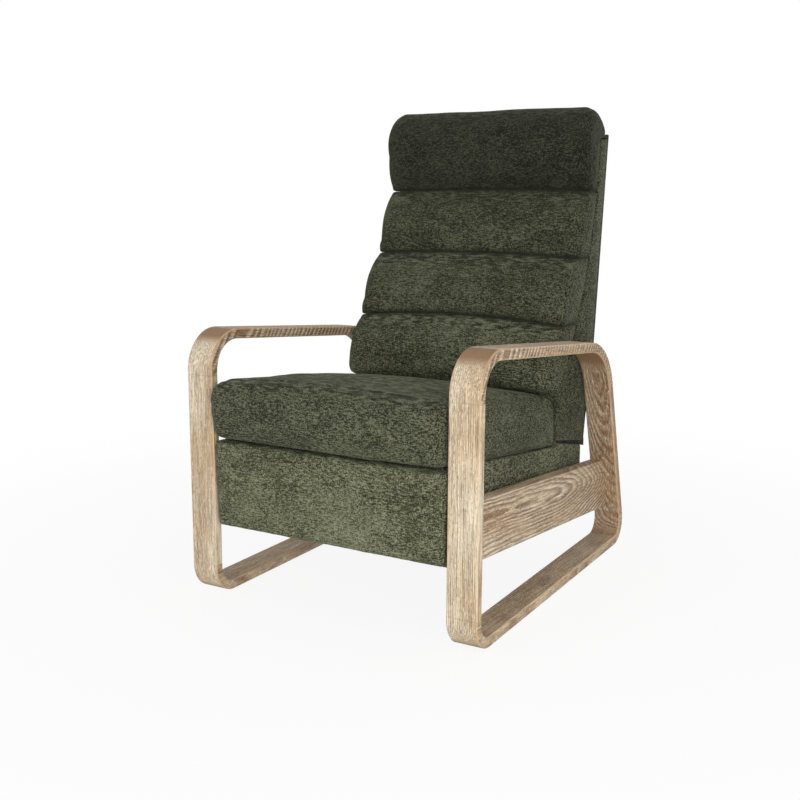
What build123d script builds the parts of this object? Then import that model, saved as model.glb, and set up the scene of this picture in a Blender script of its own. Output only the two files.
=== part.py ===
# Push-back recliner with looped wooden arms: +X is the sitter's left, -Y is forward, +Z is up.
# The origin is on the floor, in the middle of the chair's outline. Lengths are in millimetres.
# Side views are drawn as (y, z) points. The footrest linkage is drawn with the chair closed.

import os
from math import cos, radians, sin, tan

from build123d import *

overrun = 40.0  # how far a cutter reaches past what it cuts
fit_gap = 0.05  # radial clearance of a pin in its hole
glue_gap = 0.1  # clearance of a tenon in its mortise
soft_gap = 0.3  # clearance between an upholstered piece and its neighbour

# Loop frames: a wooden band on edge, bent round in the side view
frame_width = 712.0
band_width = 68.0
band_thickness = 23.0
band_chamfer = 3.0
glide_height = 3.0
floor_depth = 858.0
rear_reach = 443.3
arm_front_height = 604.0
arm_pitch = 5.7
front_lean = 0.85
rear_splay = 16.56
bend_bottom_front = 63.0
bend_top_front = 87.0
bend_top_rear = 160.0
bend_bottom_rear = 58.0
joint_offset = 8.0  # straight run left between a bend and its glued joint
tenon_length = 50.0
tenon_thickness = 8.0
tenon_width = 40.0
glide_length = 60.0
glide_width = 34.0
glide_inset = 65.0

# Side rails inside the loops, cross rails under the seat
side_rail_thickness = 33.0
side_rail_height = 123.0
side_rail_drop = 68.0  # below the cushion seam's front
side_rail_chamfer = 2.0
rail_tenon_length = 20.0
rail_tenon_height = 50.0
cross_rail_thickness = 28.0
cross_rail_height = 50.0
cross_rail_clearance = 7.0
front_cross_rail_forward = 222.0
rear_cross_rail_back = 212.0
corner_angle_leg = 34.0
corner_angle_thickness = 3.0

# Seat box
seat_gap = 7.0  # between the seat and each loop
side_board_thickness = 18.0
box_height = 128.0
box_front = 379.0
box_tail = 17.5  # behind the hinge of the back
box_step_gap = 6.0  # behind the cushion
box_back_gap = 7.0  # under the back's side panel
box_tail_drop = 4.5  # more room at the rear for the reclining back
seam_front = 419.0
seam_front_height = 368.0
seam_pitch = 7.13
deck_thickness = 12.0
seat_rail_thickness = 30.0
front_rail_forward = 232.0
front_rail_height = 55.0
rear_rail_gap = 2.0  # behind the cushion
rear_rail_height = 56.0
strap_count = 5
strap_width = 50.0
strap_thickness = 2.5
strap_pitch_share = 0.335  # of the half width between the side boards

# Seat cushion
cushion_front = 437.0
cushion_front_top = 424.0
cushion_front_rise = 70.0
cushion_height = 124.0
cushion_tuck = 50.0  # behind the front of the lumbar roll
cushion_rear_height = 120.0
cushion_crown = 9.0
cushion_top_rise = 5.0
cushion_draw_in = 12.0
cushion_side_round = 30.0
cushion_top_shoulder = 40.0
crown_steps = 3
cushion_under_shares = (0.625, 0.5)
cushion_over_shares = (0.143, 0.8)
cushion_rear_shares = (0.75, 0.25)
draw_in_share = 0.333
end_shares = ((0, 1), (0.333, 0.333), (1, 0))  # of a soft end's round and of its draw-in

# Back: places in the side view are shares of its depth, from the lumbar roll to the rear,
# and of its height above the front of the cushion seam
back_reach = 440.0
back_depth = 344.0
back_height = 720.0
back_rear_shares = ((0.6657, -0.1222), (0.7006, -0.0375), (0.8256, 0.2056), (0.9128, 0.5444), (1.0000, 0.8931))
back_seam_shares = (
    (0.1570, -0.0778), (0.1628, 0.0861), (0.3343, 0.1764), (0.4331, 0.2403),
    (0.5930, 0.3653), (0.7238, 0.5444), (0.8110, 0.6972), (0.8517, 0.8944),
)
back_side_thickness = 18.0
outer_panel_thickness = 10.0
upright_thickness = 26.0
upright_depth_bottom = 45.0
upright_depth_top = 24.0
upright_top_share = 0.8778
core_bottom_share = -0.0458
back_rail_height = 58.0
back_rail_shares = (-0.0528, 0.3778, 0.7944)

# Channels of the back: seam roots and fullest points of the front outline
seam_root_shares = ((0.6919, 0.7222), (0.4942, 0.5042), (0.2297, 0.2903))
channel_front_shares = ((0.4680, 0.5403), (0.2122, 0.3389), (0.0000, 0.1611))
channel_gap = 0.4
channel_end_round = 30.0
channel_draw_in = 26.0
channel_bulge_share = 0.13
channel_tuck_share = 0.22
lumbar_foot_shares = (0.0233, 0.1264)
lumbar_heel_shares = (0.1570, 0.1139)
head_front_shares = (0.5814, 0.8458)
head_top_shares = (0.7733, 1.0000)
head_rear_shares = (0.9535, 0.9500)

# Hinge of the back on the seat box
hinge_shares = (0.561047, -0.122917)  # like the back's outline
hinge_plate_thickness = 3.0
hinge_plate_radius = 16.0
hinge_plate_reach = 62.0
hinge_pin_radius = 5.0
hinge_head_lip = 4.0
hinge_head_thickness = 4.0

# Linkage plates lie in layers, each one plate and the gap inboard of it
plate_thickness = 3.0
plate_gap = 3.0
base_plate_gap = 4.0  # between the side board and the outer plate
layer_names = ("base", "seat", "crank", "tie", "bracket", "lift", "guide")
link_half_width = 9.0
rivet_radius = 4.0
rivet_lip = 3.0
rivet_head_thickness = 2.0
head_sides = 6  # hexagonal heads of studs and pins
slot_clearance = 0.3
slot_wall = 7.0

# Linkage geometry with the chair closed, angles from the forward direction
pivot_forward = 346.0
pivot_drop = 76.0
crank_length = 78.0
cam_arm_length = 40.0
lift_tail_length = 62.0
lift_length = 122.0
tie_arm_length = 66.0
crank_start_angle = -105.0
cam_start_angle = 110.0
crank_swing_angle = 96.0
lift_start_angle = 75.0
lift_swing_angle = -48.0
tie_bend_angle = 18.0
slide_length = 50.0
slide_pitch = 5.71
slot_arcs = 4  # arcs along each side of a curved slot
guide_discs = 4  # round corners of the guide plate's outline

# Slides of the seat plates on the base plates
slide_drop = 146.0
slide_front = 290.0
slide_rear_inset = 28.0  # in front of the seat's rear rail
slide_pin_radius = 5.0
base_strip_half = 20.0
seat_strip_half = 17.0
tower_rear = 318.0
foot_tab = 27.0
seat_plate_flange = 24.0
guide_plate_flange = 24.0

# Footrest
footrest_gap = 7.0
footrest_height = 191.0
footrest_face = 414.0
footrest_thickness = 32.0
footrest_round = 10.0
footrest_board_thickness = 15.0
footrest_board_border = 9.0
bracket_flange = 26.0
torsion_radius = 9.0

frame_half = frame_width / 2
loop_inner = frame_half - band_width
front_foot = rear_reach - floor_depth
seam_slope = tan(radians(seam_pitch))
slide_slope = tan(radians(slide_pitch))
arm_slope = tan(radians(arm_pitch))
splay_slope = tan(radians(rear_splay))
lean_slope = tan(radians(front_lean))
seat_half_width = loop_inner - seat_gap
board_inner = seat_half_width - side_board_thickness
layer_pitch = plate_thickness + plate_gap
outer_plate_face = board_inner - base_plate_gap
layer_face = {name: outer_plate_face - i * layer_pitch for i, name in enumerate(layer_names)}
rivet_hole = rivet_radius + fit_gap
side_rail_top_front = seam_front_height - side_rail_drop
box_bottom_front = seam_front_height - box_height
pivot_up = seam_front_height - pivot_drop
slide_height = seam_front_height - slide_drop
cushion_rear = back_reach - back_depth + cushion_tuck
box_step = cushion_rear + box_step_gap
rear_rail_back = cushion_rear + rear_rail_gap
slide_rear = rear_rail_back - slide_rear_inset
footrest_top = seam_front_height - footrest_gap
footrest_bottom = footrest_top - footrest_height


# Solids from side views
def side_prism(points, low_x, high_x):
    """Prism along X over a closed outline of (y, z) points."""
    face = make_face(Polyline(*points, close=True))
    return extrude(Plane.YZ.offset(low_x) * face, high_x - low_x)


def side_solid(face, low_x, high_x):
    return extrude(Plane.YZ.offset(low_x) * face, high_x - low_x)


def side_cylinder(place, radius, low_x, high_x):
    return side_solid(Pos(*place) * Circle(radius), low_x, high_x)


def block(low, high):
    """Box from its lowest to its highest corner."""
    size = [b - a for a, b in zip(low, high)]
    return Pos(*low) * Box(*size, align=(Align.MIN, Align.MIN, Align.MIN))


def right_copy(shape):
    return mirror(shape, Plane.YZ)


def export(shape, name):
    export_step(shape, f"parts/{name}.step")


def export_pair(shape, name):
    export(shape, f"{name}_left")
    export(right_copy(shape), f"{name}_right")


def both_sides(solids):
    solids = list(solids)
    return Compound(children=solids + [right_copy(solid) for solid in solids])


# Straight lines of the side view
def front_line(z):
    return front_foot + (z - glide_height) * lean_slope


def rear_line(z):
    return rear_reach - (z - glide_height) * splay_slope


def seam_height(y):
    return seam_front_height - (y + seam_front) * seam_slope


def box_bottom(y):
    return box_bottom_front - (y + seam_front) * slide_slope


def slide_line(y):
    return slide_height - y * slide_slope


def back_level(share):
    return seam_front_height + back_height * share


def back_point(shares):
    return back_reach - back_depth * (1 - shares[0]), back_level(shares[1])


def line_at(line, z):
    """How far back a rising line of (y, z) points lies at a height."""
    for (y0, z0), (y1, z1) in zip(line, line[1:]):
        if z <= z1:
            break
    return y0 + (y1 - y0) * (z - z0) / (z1 - z0)


hinge_back, hinge_up = back_point(hinge_shares)
box_rear = hinge_back + box_tail
back_rear_line = [back_point(shares) for shares in back_rear_shares]
back_seam_line = [back_point(shares) for shares in back_seam_shares]
seam_roots = [back_point(shares) for shares in seam_root_shares]
channel_fronts = [back_point(shares) for shares in channel_front_shares]


# Loops
def loop_corners():
    """Sharp outer corners: front foot, arm front, arm rear, rear foot."""
    arm_y = front_line(arm_front_height)
    level = arm_front_height - (rear_reach - arm_y) * arm_slope
    arm_rear_height = (level - glide_height * splay_slope * arm_slope) / (1 - splay_slope * arm_slope)
    return [
        Vector(front_foot, glide_height),
        Vector(arm_y, arm_front_height),
        Vector(rear_line(arm_rear_height), arm_rear_height),
        Vector(rear_reach, glide_height),
    ]


def loop_ring():
    bends = [bend_bottom_front, bend_top_front, bend_top_rear, bend_bottom_rear]
    outer = make_face(FilletPolyline(*loop_corners(), radius=bends, close=True))
    inner = offset(outer, -band_thickness)
    ring = side_solid(outer - inner, loop_inner, frame_half)
    rims = ring.edges().group_by(Axis.X)
    return chamfer(rims[0] + rims[-1], band_chamfer)


def glued_joint(corner, along, other, bend):
    """Joint past a bend: its place on the outer face, the run and the way inward."""
    run = (along - corner).normalized()
    side = (other - corner).normalized()
    half_angle = radians(run.get_angle(side)) / 2
    place = corner + run * (bend / tan(half_angle) + joint_offset)
    inward = (side - run * side.dot(run)).normalized()
    return place, run, inward


def loop_joints():
    a, b, c, d = loop_corners()
    return {
        "top_front": glued_joint(b, a, c, bend_top_front),
        "top_rear": glued_joint(c, d, b, bend_top_rear),
        "bottom_rear": glued_joint(d, c, a, bend_bottom_rear),
        "bottom_front": glued_joint(a, b, d, bend_bottom_front),
    }


def joint_region(first, second, far_points=()):
    """Prism that holds the band between two joints."""
    outline = [
        first[0] - first[2] * overrun, first[0] + first[2] * overrun,
        second[0] + second[2] * overrun, second[0] - second[2] * overrun,
    ]
    points = [(p.X, p.Y) for p in (*outline, *far_points)]
    return side_prism(points, loop_inner - overrun, frame_half + overrun)


def tenon_block(place, run, x, length, height, thickness, clearance):
    """Loose tenon: its length lies along the run, its thickness across it."""
    plane = Plane(origin=(x, place.X, place.Y), x_dir=(0, run.X, run.Y), z_dir=(1, 0, 0))
    sizes = (length, height, thickness)
    return plane * Box(*[size + 2 * clearance for size in sizes])


def loop_tenons(clearance=0):
    x = loop_inner + band_width / 2
    solids = []
    for place, run, inward in loop_joints().values():
        middle = place + inward * band_thickness / 2
        size = (tenon_length, tenon_thickness, tenon_width)
        solids.append(tenon_block(middle, run, x, *size, clearance))
    return solids


def side_rail_corners():
    """Top and bottom corners at the front post, then at the rear post."""
    front_face = front_foot + band_thickness / cos(radians(front_lean)) - glide_height * lean_slope
    rear_face = rear_reach - band_thickness / cos(radians(rear_splay)) + glide_height * splay_slope
    corners = []
    for face, slope in ((front_face, lean_slope), (rear_face, -splay_slope)):
        for drop in (0, side_rail_height):
            level = side_rail_top_front - drop + front_foot * arm_slope
            y = (face + slope * level) / (1 + slope * arm_slope)
            corners.append(Vector(y, level - y * arm_slope))
    return corners


def rail_tenons(clearance=0):
    front_top, front_bottom, rear_top, rear_bottom = side_rail_corners()
    x = loop_inner + side_rail_thickness / 2
    run = (rear_top - front_top).normalized()
    size = (rail_tenon_length, rail_tenon_height, tenon_thickness)
    places = ((front_top + front_bottom) / 2, (rear_top + rear_bottom) / 2)
    return [tenon_block(place, run, x, *size, clearance) for place in places]


def side_rail():
    front_top, front_bottom, rear_top, rear_bottom = side_rail_corners()
    points = [(p.X, p.Y) for p in (front_top, rear_top, rear_bottom, front_bottom)]
    rail = side_prism(points, loop_inner, loop_inner + side_rail_thickness)
    long_edges = [edge for edge in rail.edges() if edge.length > side_rail_height * 2]
    rail = chamfer(long_edges, side_rail_chamfer)
    for mortise in rail_tenons(glue_gap):
        rail -= mortise
    return rail


def loop_segments():
    ring = loop_ring()
    for mortise in loop_tenons(glue_gap) + rail_tenons(glue_gap):
        ring -= mortise
    joints = loop_joints()
    a, b, c, d = loop_corners()
    out = overrun
    regions = {
        "arm": joint_region(
            joints["top_front"], joints["top_rear"], (c + Vector(out, out), b + Vector(-out, out))
        ),
        "rear_post": joint_region(joints["top_rear"], joints["bottom_rear"]),
        "floor_rail": joint_region(
            joints["bottom_rear"], joints["bottom_front"], (a - Vector(out, out), d + Vector(out, -out))
        ),
        "front_post": joint_region(joints["bottom_front"], joints["top_front"]),
    }
    return {name: ring & region for name, region in regions.items()}


def glides():
    x = loop_inner + band_width / 2
    inset = glide_inset + glide_length / 2
    places = [Pos(x, y, glide_height / 2) for y in (front_foot + inset, rear_reach - inset)]
    return [place * Box(glide_width, glide_length, glide_height) for place in places]


# Cross rails
def cross_rail_top(rear_y):
    return box_bottom(rear_y) - cross_rail_clearance


def cross_rail_ends():
    """Front and rear face of the front cross rail, then of the rear one."""
    return (
        (-front_cross_rail_forward - cross_rail_thickness, -front_cross_rail_forward),
        (rear_cross_rail_back, rear_cross_rail_back + cross_rail_thickness),
    )


def cross_rail(ends):
    top = cross_rail_top(ends[1])
    return block((-loop_inner, ends[0], top - cross_rail_height), (loop_inner, ends[1], top))


def corner_angle(ends, front_side):
    """Steel angle between a cross rail's face and the side rail."""
    top = cross_rail_top(ends[1])
    bottom = top - cross_rail_height
    t = corner_angle_thickness
    face = ends[0] if front_side else ends[1]
    away = -1 if front_side else 1
    leg = face + away * corner_angle_leg
    low_y, high_y = sorted((face, leg))
    on_side = block((loop_inner - t, low_y, bottom), (loop_inner, high_y, top))
    low_y, high_y = sorted((face, face + away * t))
    on_rail = block((loop_inner - corner_angle_leg, low_y, bottom), (loop_inner, high_y, top))
    return on_side + on_rail


# Linkage points in the closed chair
def polar(angle, length):
    """Step in the side view, its angle counted from the forward direction."""
    return Vector(-cos(radians(angle)), sin(radians(angle))) * length


def link_points(share=0):
    """Pivots of the linkage beside the seat at a share of the full swing."""
    crank = crank_start_angle + crank_swing_angle * share
    lift = lift_start_angle + lift_swing_angle * share
    pivot = Vector(-pivot_forward, pivot_up)
    knee = pivot + polar(crank, crank_length)
    tie_step = polar(crank + tie_bend_angle, tie_arm_length)
    head = knee + polar(lift, lift_length)
    return {
        "pivot": pivot,
        "knee": knee,
        "cam": pivot + polar(cam_start_angle + crank_swing_angle * share, cam_arm_length),
        "tail": knee - polar(lift, lift_tail_length),
        "head": head,
        "tie_foot": knee + tie_step,
        "tie_head": head + tie_step,
    }


def seat_step(share):
    """How far the seat has moved along its slides."""
    return polar(slide_pitch, slide_length * share)


def even_shares(count):
    return [i / count for i in range(count + 1)]


def cam_path():
    """Path of the crank's cam pin seen from the fixed base."""
    return [link_points(share)["cam"] + seat_step(share) for share in even_shares(slot_arcs * 2)]


def arc_slot_face(half_width):
    """Slot of the seat plate: an arc about the crank's pivot."""
    pivot = link_points()["pivot"]
    radii = (cam_arm_length - half_width, cam_arm_length + half_width)
    ends = (cam_start_angle, cam_start_angle + crank_swing_angle)
    middle = sum(ends) / 2
    inner, outer = [[pivot + polar(angle, r) for angle in (ends[0], middle, ends[1])] for r in radii]
    edges = [ThreePointArc(*inner), ThreePointArc(*outer)]
    for end, turn in zip(ends, (-1, 1)):
        place = pivot + polar(end, cam_arm_length)
        tip = place + polar(end + turn * 90, half_width)
        near, far = [pivot + polar(end, r) for r in radii]
        edges.append(ThreePointArc(near, tip, far))
    return make_face(Curve() + edges)


def tail_path(steps):
    """Path of the lift link's lower pin seen from the seat."""
    return [link_points(share)["tail"] for share in even_shares(steps)]


def slot_face(path, half_width):
    """Slot with round ends about a curved path, its sides a run of arcs."""
    curve = Spline(*path)
    ends = (curve @ 0, curve @ 1)
    tangents = (curve % 0, curve % 1)
    sides = []
    for turn in (1, -1):
        offsets = []
        for share in even_shares(slot_arcs * 2):
            tangent = curve % share
            normal = Vector(-tangent.Y, tangent.X) * turn
            offsets.append((curve @ share) + normal * half_width)
        sides.append(offsets)
    edges = []
    for side in sides:
        edges += [ThreePointArc(*arc) for arc in zip(side[::2], side[1::2], side[2::2])]
    upper, lower = sides
    edges.append(ThreePointArc(upper[0], ends[0] - tangents[0] * half_width, lower[0]))
    edges.append(ThreePointArc(upper[-1], ends[1] + tangents[1] * half_width, lower[-1]))
    return make_face(Curve() + edges)


def bar_face(first, second, half_width=link_half_width):
    """Straight link with round ends."""
    discs = Pos(*first) * Circle(half_width) + Pos(*second) * Circle(half_width)
    return make_hull(discs.edges())


def strap_face(first, second, half_width):
    """Straight strap, round about its first point and square at its second."""
    run = (Vector(*second) - Vector(*first)).normalized() * half_width
    side = Vector(-run.Y, run.X)
    near, far = Vector(*first), Vector(*second) + run
    arc = ThreePointArc(near + side, near - run, near - side)
    square = Polyline(near - side, far - side, far + side, near + side)
    return make_face(Curve() + [arc, square])


def hull_of_discs(places, radius):
    discs = Sketch() + [Pos(*place) * Circle(radius) for place in places]
    return make_hull(discs.edges())


def holes(places, radius=rivet_hole):
    return Sketch() + [Pos(*place) * Circle(radius) for place in places]


def plate(face, layer):
    high = layer_face[layer]
    return side_solid(face, high - plate_thickness, high)


def inner_face(layer):
    return layer_face[layer] - plate_thickness


def stud(place, start, end, radius=rivet_radius, lip=rivet_lip, thickness=rivet_head_thickness):
    """Round shank from one plate's face through the next plates, with a head past the last."""
    tip = end + thickness if end > start else end - thickness
    shank = side_cylinder(place, radius, *sorted((start, end)))
    head = Pos(*place) * RegularPolygon(radius + lip, head_sides)
    return shank + side_solid(head, *sorted((end, tip)))


def crank_link():
    """Three-armed link with its pivot, cam, knee and tie studs fixed in it."""
    p = link_points()
    arms = bar_face(p["pivot"], p["knee"]) + bar_face(p["knee"], p["tie_foot"])
    arms += bar_face(p["pivot"], p["cam"])
    solid = plate(arms, "crank")
    solid += stud(p["pivot"], layer_face["crank"], layer_face["seat"])
    solid += stud(p["cam"], layer_face["crank"], layer_face["base"])
    solid += stud(p["knee"], inner_face("crank"), inner_face("lift"))
    return solid + stud(p["tie_foot"], inner_face("crank"), inner_face("tie"))


def lift_link():
    """Long link; its tail pin runs through the guide slot to the torsion tube."""
    p = link_points()
    solid = plate(bar_face(p["tail"], p["head"]) - holes([p["knee"], p["head"]]), "lift")
    return solid + side_cylinder(p["tail"], rivet_radius, tube_reach(), inner_face("lift"))


def tie_link():
    p = link_points()
    return plate(bar_face(p["tie_foot"], p["tie_head"]) - holes([p["tie_foot"], p["tie_head"]]), "tie")


def tube_reach():
    return inner_face("guide") - plate_gap


def torsion_tube():
    return side_cylinder(link_points()["tail"], torsion_radius, -tube_reach(), tube_reach())


# Plates of the seat and the base
def slide_pin_places():
    return [Vector(y, slide_line(y)) for y in (-slide_front, slide_rear)]


def slide_slots():
    """Straight slots of the base plate, one for each slide pin."""
    half = slide_pin_radius + slot_clearance
    slots = Sketch()
    for place in slide_pin_places():
        slots += bar_face(place, place + seat_step(1), half)
    return slots


def base_plate():
    front, rear = cross_rail_ends()
    half = base_strip_half
    cam = cam_path()
    tower_top = max(p.Y for p in cam) + rivet_radius + slot_wall
    tower_front = min(p.X for p in cam) - rivet_radius - slot_wall
    tower_low = min(p.Y for p in cam) - rivet_radius - slot_wall
    tower_back = -tower_rear
    rear_end = rear[1]
    outline = [
        (rear_end, slide_line(rear_end) + half),
        (tower_back, slide_line(tower_back) + half),
        (tower_back, tower_top),
        (cam[0].X - rivet_radius - slot_wall, tower_top),
        (tower_front, tower_low + half),
        (tower_front, tower_low),
        (front[0], slide_line(front[0]) - half),
        (front[0], cross_rail_top(front[1])),
        (front[1], cross_rail_top(front[1])),
        (front[1], slide_line(front[1]) - half),
        (rear[0], slide_line(rear[0]) - half),
        (rear[0], cross_rail_top(rear[1])),
        (rear_end, cross_rail_top(rear[1])),
    ]
    face = make_face(Polyline(*outline, close=True)) - slide_slots()
    face -= slot_face(cam, rivet_radius + slot_clearance)
    solid = plate(face, "base")
    high = layer_face["base"]
    for ends in (front, rear):
        top = cross_rail_top(ends[1])
        low_corner = (high - foot_tab, ends[0], top)
        solid += block(low_corner, (high, ends[1], top + plate_thickness))
    return solid


def front_rail_face():
    return -front_rail_forward - seat_rail_thickness


def deck_rear():
    return front_rail_face() + seat_rail_thickness / 2


def deck_top(y):
    return seam_height(y) - soft_gap


def front_rail_span():
    top = deck_top(deck_rear()) - deck_thickness
    return top - front_rail_height, top


def rear_rail_span():
    top = deck_top(rear_rail_back + seat_rail_thickness) - strap_thickness
    return top - rear_rail_height, top


def seat_plate():
    """Plate with the arc slot and the pins that slide in the base plate, their heads outside it."""
    face_y = front_rail_face()
    low, high = front_rail_span()
    half = seat_strip_half
    tail_y = rear_rail_back
    rear_low, rear_high = rear_rail_span()
    pins = slide_pin_places()
    lobe = Pos(*link_points()["pivot"]) * Circle(cam_arm_length + rivet_radius + slot_wall)
    lobe &= hull_of_discs([link_points(share)["cam"] for share in (0, 1 / 2, 1)], cam_arm_length)
    outline = [
        (tail_y, rear_high - half), (tail_y, slide_line(tail_y) - half),
        (pins[0].X - half, slide_line(pins[0].X) - half), (pins[0].X - half, slide_line(pins[0].X) + half),
        (pins[0].X - half, high), (face_y, high), (face_y, slide_line(face_y) + half),
        (tail_y - half * 2, slide_line(tail_y) + half), (tail_y - half * 2, rear_high - half),
    ]
    face = make_face(Polyline(*outline, close=True)) + lobe
    face -= arc_slot_face(rivet_radius + slot_clearance)
    solid = plate(face - holes([link_points()["pivot"]]), "seat")
    for place in pins:
        solid += stud(place, layer_face["seat"], layer_face["base"], slide_pin_radius)
    outer = layer_face["seat"]
    flange = (outer - seat_plate_flange, face_y - plate_thickness, low + half)
    solid += block(flange, (outer, face_y, high))
    tail = (outer - seat_plate_flange, tail_y - plate_thickness, rear_low)
    return solid + block(tail, (outer, tail_y, rear_high - half))


def guide_plate():
    face_y = front_rail_face()
    low, high = front_rail_span()
    radius = rivet_radius + slot_wall
    corner = Pos(face_y - radius, (low + high) / 2)
    anchor = corner * Rectangle(radius * 2, high - low)
    discs = Sketch() + [Pos(*p) * Circle(radius) for p in tail_path(guide_discs - 1)]
    face = make_hull((discs.edges() + anchor.edges()))
    face -= slot_face(tail_path(slot_arcs * 2), rivet_radius + slot_clearance)
    solid = plate(face, "guide")
    outer = layer_face["guide"]
    flange = (outer - guide_plate_flange, face_y - plate_thickness, low)
    return solid + block(flange, (outer, face_y, high))


# Seat
def back_foot(y):
    """Height of the back's lower edge."""
    (front_y, front_z), (rear_y, rear_z) = back_seam_line[0], rear_offset(outer_panel_thickness)[0]
    return front_z + (rear_z - front_z) * (y - front_y) / (rear_y - front_y)


def side_board():
    outline = [
        (-box_front, deck_top(-box_front)), (box_step, deck_top(box_step)),
        (box_step, back_foot(box_step) - box_back_gap),
        (box_rear, back_foot(box_rear) - box_back_gap - box_tail_drop),
        (box_rear, box_bottom(box_rear)), (-box_front, box_bottom(-box_front)),
    ]
    return side_prism(outline, board_inner, seat_half_width)


def front_rail():
    """Rail with a rebate for the deck's rear edge; the straps lie on its higher half."""
    low, _ = front_rail_span()
    face_y = front_rail_face()
    step_y = deck_rear() + glue_gap
    rear_y = face_y + seat_rail_thickness
    outline = [
        (face_y, low), (rear_y, low),
        (rear_y, deck_top(rear_y) - strap_thickness), (step_y, deck_top(step_y) - strap_thickness),
        (step_y, deck_top(step_y) - deck_thickness), (face_y, deck_top(face_y) - deck_thickness),
    ]
    return side_prism(outline, -board_inner, board_inner)


def rear_rail():
    low, _ = rear_rail_span()
    far_y = rear_rail_back + seat_rail_thickness
    outline = [
        (rear_rail_back, low), (far_y, low),
        (far_y, deck_top(far_y) - strap_thickness),
        (rear_rail_back, deck_top(rear_rail_back) - strap_thickness),
    ]
    return side_prism(outline, -board_inner, board_inner)


def front_deck():
    """Sloping board under the front of the cushion."""
    tops = [(y, deck_top(y)) for y in (-box_front, deck_rear())]
    feet = [(y, z - deck_thickness) for y, z in reversed(tops)]
    return side_prism(tops + feet, -board_inner + glue_gap, board_inner - glue_gap)


def straps():
    """Elastic webbing from the front rail to the rear rail."""
    front_y = deck_rear() + soft_gap
    rear_y = rear_rail_back + seat_rail_thickness
    solids = []
    for i in range(strap_count):
        x = (i - (strap_count - 1) / 2) * board_inner * strap_pitch_share
        tops = [(y, deck_top(y)) for y in (front_y, rear_y)]
        feet = [(y, z - strap_thickness) for y, z in reversed(tops)]
        solids.append(side_prism(tops + feet, x - strap_width / 2, x + strap_width / 2))
    return Compound(children=solids)


def between(first, last, shares):
    """Point between two others, at a share of the way in each direction."""
    return tuple(a + (b - a) * share for a, b, share in zip(first, last, shares))


def cushion_section(x, inset, crown):
    """Cushion profile across the chair, drawn in by an inset and raised by a crown."""
    front = -cushion_front + inset
    front_top = -cushion_front_top + inset
    rear = cushion_rear - inset
    foot = (-seam_front + inset, seam_height(-seam_front) + inset / 2)
    heel = (rear, seam_height(rear) + inset / 2)
    rear_top = (rear, seam_height(rear) + cushion_rear_height - inset - cushion_top_shoulder / 2)
    shoulder = (
        rear - cushion_top_shoulder,
        seam_height(rear - cushion_top_shoulder) + cushion_rear_height - inset + crown,
    )
    front_crest = (front_top + cushion_top_shoulder, seam_height(front_top) + cushion_height - inset + crown)
    nose = (front, seam_height(front) + cushion_front_rise)
    ridge = ((front_crest[0] + shoulder[0]) / 2, (front_crest[1] + shoulder[1]) / 2 + cushion_top_rise)
    outline = Curve() + [
        Line(heel, foot),
        ThreePointArc(foot, between(foot, nose, cushion_under_shares), nose),
        ThreePointArc(nose, between(nose, front_crest, cushion_over_shares), front_crest),
        ThreePointArc(front_crest, ridge, shoulder),
        ThreePointArc(shoulder, between(shoulder, rear_top, cushion_rear_shares), rear_top),
        Line(rear_top, heel),
    ]
    return Plane.YZ.offset(x) * make_face(outline)


def soft_stations(side_round, draw_in, crown=0):
    """Places across the chair, each with its inset and its share of the crown."""
    half = seat_half_width
    flat = half - side_round
    stations = [(half - side_round * across, draw_in * inward, 0) for across, inward in end_shares]
    if crown:
        for i in range(1, crown_steps):
            share = i / crown_steps
            stations.append((flat * (1 - share), 0, crown * (1 - (1 - share) ** 2)))
    mirrored = [(-x, inset, rise) for x, inset, rise in stations]
    middle = [(0, 0, crown)] if crown else []
    return mirrored + middle + stations[::-1]


def seat_cushion():
    stations = soft_stations(cushion_side_round, cushion_draw_in, cushion_crown)
    return loft([cushion_section(*station) for station in stations], ruled=True)


# Back
def rear_offset(depth):
    return [(y - depth, z) for y, z in back_rear_line]


def upright_outline():
    """Tapered upright: its rear follows the back's rear face."""
    rear = rear_offset(outer_panel_thickness)
    steps = len(rear) - 1
    front = []
    for i, (y, z) in enumerate(rear):
        depth = upright_depth_bottom + (upright_depth_top - upright_depth_bottom) * i / steps
        front.append((y - depth, z))
    return rear, front


def upright_face():
    rear, front = upright_outline()
    upright_top = back_level(upright_top_share)
    top_rear = (line_at(rear, upright_top), upright_top)
    top_front = (line_at(front, upright_top), upright_top)
    points = rear[:-1] + [top_rear, top_front] + front[-2::-1]
    face = make_face(Polyline(*points, close=True))
    return face + Pos(hinge_back, hinge_up) * Circle(hinge_plate_radius)


def upright_span():
    """Outer and inner side of the left upright."""
    high = board_inner - hinge_plate_thickness * 2 - plate_gap
    return high - upright_thickness, high


def upright():
    low, high = upright_span()
    pin = side_cylinder((hinge_back, hinge_up), hinge_pin_radius + fit_gap, low - overrun, high + overrun)
    return side_solid(upright_face(), low, high) - pin


def back_rail(level):
    """Rail between the uprights, cut to their taper."""
    low, _ = upright_span()
    band = Pos(back_reach, level + back_rail_height / 2) * Rectangle(frame_width, back_rail_height)
    return side_solid(upright_face() & band, -low, low)


def back_core():
    _, front = upright_outline()
    core_bottom = back_level(core_bottom_share)
    seam = [(y + soft_gap, z) for y, z in back_seam_line]
    top = seam[-1][1] - soft_gap
    rear = [(y - soft_gap, z) for y, z in front]
    points = [(line_at(seam, core_bottom), core_bottom)]
    points += [p for p in seam[1:-1]] + [(seam[-1][0], top)]
    points += [(line_at(rear, top), top)] + [p for p in rear[-2:0:-1]]
    points += [(line_at(rear, core_bottom), core_bottom)]
    half = seat_half_width - back_side_thickness - soft_gap
    return side_prism(points, -half, half)


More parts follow.
